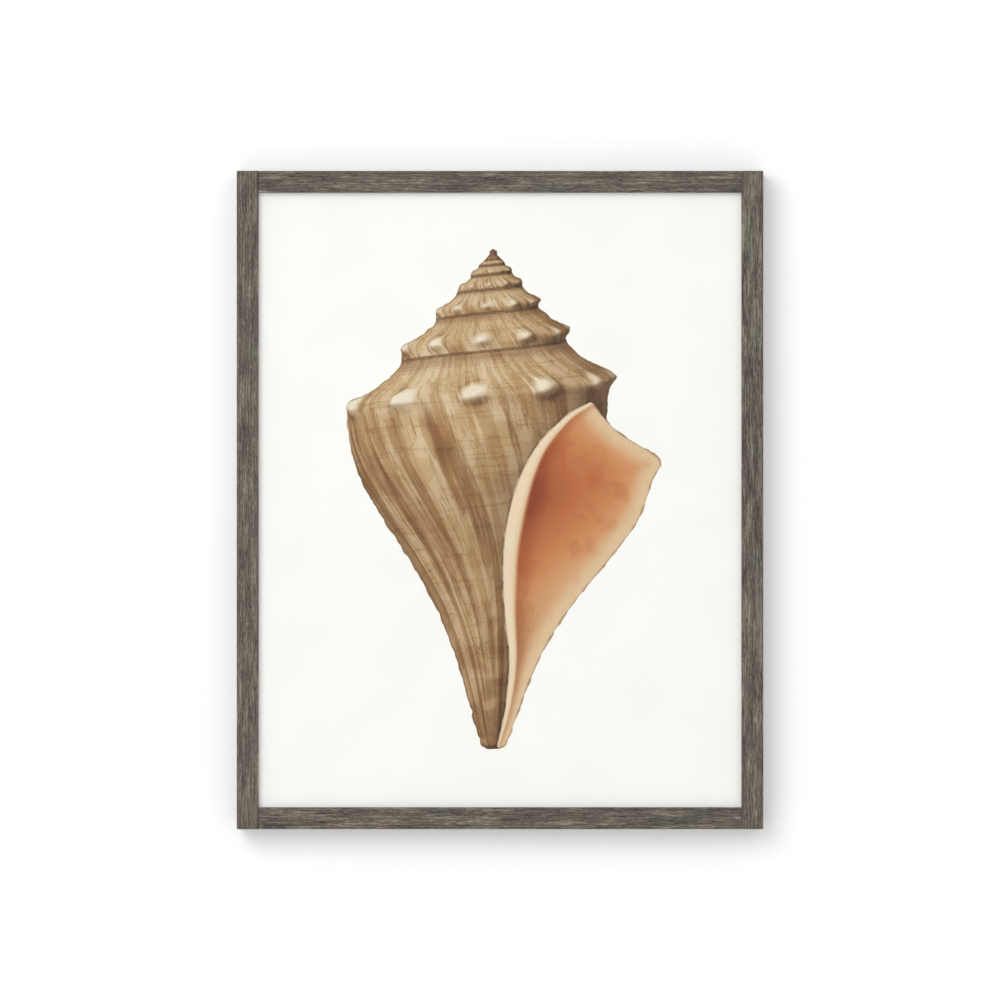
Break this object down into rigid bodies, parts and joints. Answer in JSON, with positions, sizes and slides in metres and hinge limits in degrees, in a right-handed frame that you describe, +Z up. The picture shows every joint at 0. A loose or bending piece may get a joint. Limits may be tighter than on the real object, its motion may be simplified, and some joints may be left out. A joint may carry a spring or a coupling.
{
  "type": "framed print",
  "caption": "Upright framed watercolour-style print of a sea shell under clear glazing, in a narrow weathered-wood frame with a board back and a toothed wall hanger.",
  "frame": {"origin": "the middle notch of the toothed hanger, where the nail bears, mid-way through the toothed strip", "axes": "+X to the viewer's right, +Y back into the wall, +Z up"},
  "size_m": [0.3046, 0.0211, 0.3808],
  "materials": {
    "frame_wood": "weathered grey, dry-brushed, matt",
    "clear_glazing": "clear polished acrylic sheet",
    "print_paper": "heavy cotton paper, matt, printed in colour",
    "hardboard": "pressed fibre, smooth sealed back",
    "zinc_plated_steel": "bright zinc plate",
    "rivet_brass": "plated, domed",
    "brad_steel": "dark, dull",
    "bumper_felt": "pressed felt"
  },
  "bodies": {
    "root": {"backing_board": "hardboard", "bottom_rail": "frame_wood", "brad_1": "brad_steel", "brad_2": "brad_steel", "brad_3": "brad_steel", "brad_4": "brad_steel", "brad_5": "brad_steel", "brad_6": "brad_steel", "brad_7": "brad_steel", "brad_8": "brad_steel", "bumper_left": "bumper_felt", "bumper_right": "bumper_felt", "framers_point_1": "zinc_plated_steel", "framers_point_10": "zinc_plated_steel", "framers_point_2": "zinc_plated_steel", "framers_point_3": "zinc_plated_steel", "framers_point_4": "zinc_plated_steel", "framers_point_5": "zinc_plated_steel", "framers_point_6": "zinc_plated_steel", "framers_point_7": "zinc_plated_steel", "framers_point_8": "zinc_plated_steel", "framers_point_9": "zinc_plated_steel", "glazing": "clear_glazing", "hanger_rivet_left": "rivet_brass", "hanger_rivet_right": "rivet_brass", "left_stile": "frame_wood", "print_sheet": "print_paper", "right_stile": "frame_wood", "sawtooth_hanger": "zinc_plated_steel", "top_rail": "frame_wood"}
  },
  "joints": []
}
